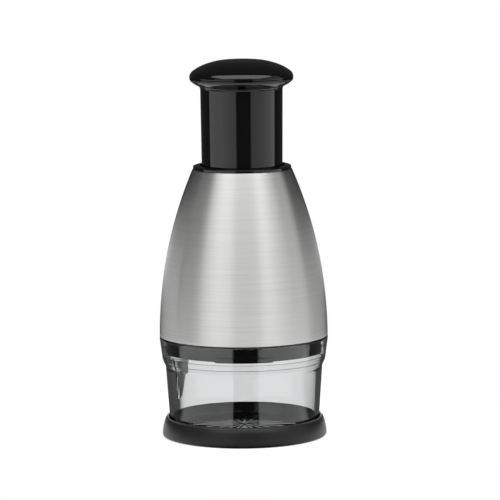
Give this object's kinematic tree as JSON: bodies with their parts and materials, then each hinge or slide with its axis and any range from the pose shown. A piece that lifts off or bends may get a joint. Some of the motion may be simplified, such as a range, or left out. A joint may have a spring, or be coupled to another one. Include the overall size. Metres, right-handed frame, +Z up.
{
  "type": "plunger food chopper",
  "caption": "Hand food chopper: pressing the domed knob drives a folded blade through a wiper disc into a clear cup that stands in a round black base.",
  "frame": {"origin": "centre of the base's foot, on the table", "axes": "+Z up the plunger's axis, -Y towards the front"},
  "size_m": [0.1018, 0.1018, 0.2281],
  "materials": {
    "soft_black": "matte, slightly textured",
    "black_gloss": "polished moulding",
    "clear_plastic": "clear moulding",
    "brushed_steel": "brushed round the bell",
    "black_moulding": "plain moulding",
    "screw_steel": "zinc plated",
    "bush_white": "natural acetal",
    "bush_black": "black acetal",
    "bumper_rubber": "moulded rubber",
    "spring_wire": "drawn spring wire",
    "rod_steel": "ground rod",
    "carrier_grey": "satin moulding",
    "blade_steel": "bright rolled strip"
  },
  "bodies": {
    "base": {"base_grip": "soft_black", "base_tray": "black_gloss", "chopping_disc": "black_gloss"},
    "container": {"chopping_cup": "clear_plastic"},
    "housing": {"lower_ring": "black_gloss", "wiper_retainer": "black_gloss", "ring_screws": "screw_steel", "steel_shell": "brushed_steel", "inner_hood": "black_moulding", "spring_deck": "black_moulding", "deck_screws": "screw_steel", "rod_bush": "bush_white", "index_crown": "bush_white", "stop_bumper": "bumper_rubber", "top_collar": "black_gloss", "guide_bush": "bush_black", "return_spring": "spring_wire"},
    "plunger": {"knob_cap": "black_gloss", "knob_base": "black_gloss", "plunger_tube": "black_gloss", "plunger_rod": "rod_steel", "rod_washer": "screw_steel", "rod_nut": "screw_steel", "spring_seat": "bush_white", "rod_clip": "spring_wire"},
    "rotor": {"blade_carrier": "carrier_grey", "rotor_crown": "bush_white", "zigzag_blade": "blade_steel"},
    "wiper": {"wiper_disc": "carrier_grey"}
  },
  "joints": [
    {"name": "cup_lift", "type": "slide", "parent": "base", "child": "container", "axis": [0, 0, 1], "range_m": [0, 0.04]},
    {"name": "body_twist", "type": "hinge", "parent": "container", "child": "housing", "pos_m": [0, 0, 0.0602], "axis": [0, 0, 1], "range_deg": [0, 45]},
    {"name": "plunger_press", "type": "slide", "parent": "housing", "child": "plunger", "axis": [0, 0, -1], "range_m": [0, 0.0465], "stiffness_N_per_m": 500, "springref_m": -0.018, "deforming": ["return_spring"]},
    {"name": "blade_turn", "type": "hinge", "parent": "plunger", "child": "rotor", "pos_m": [0, 0, 0.104], "axis": [0, 0, -1], "range_deg": [0, 30.1]},
    {"name": "wiper_turn", "type": "hinge", "parent": "housing", "child": "wiper", "pos_m": [0, 0, 0.0526], "axis": [0, 0, -1], "range_deg": [0, 30.1]}
  ],
  "couplings": [
    {"joint": "blade_turn", "follows": "plunger_press", "rad_per_m": 11.26},
    {"joint": "wiper_turn", "follows": "plunger_press", "rad_per_m": 11.26}
  ]
}
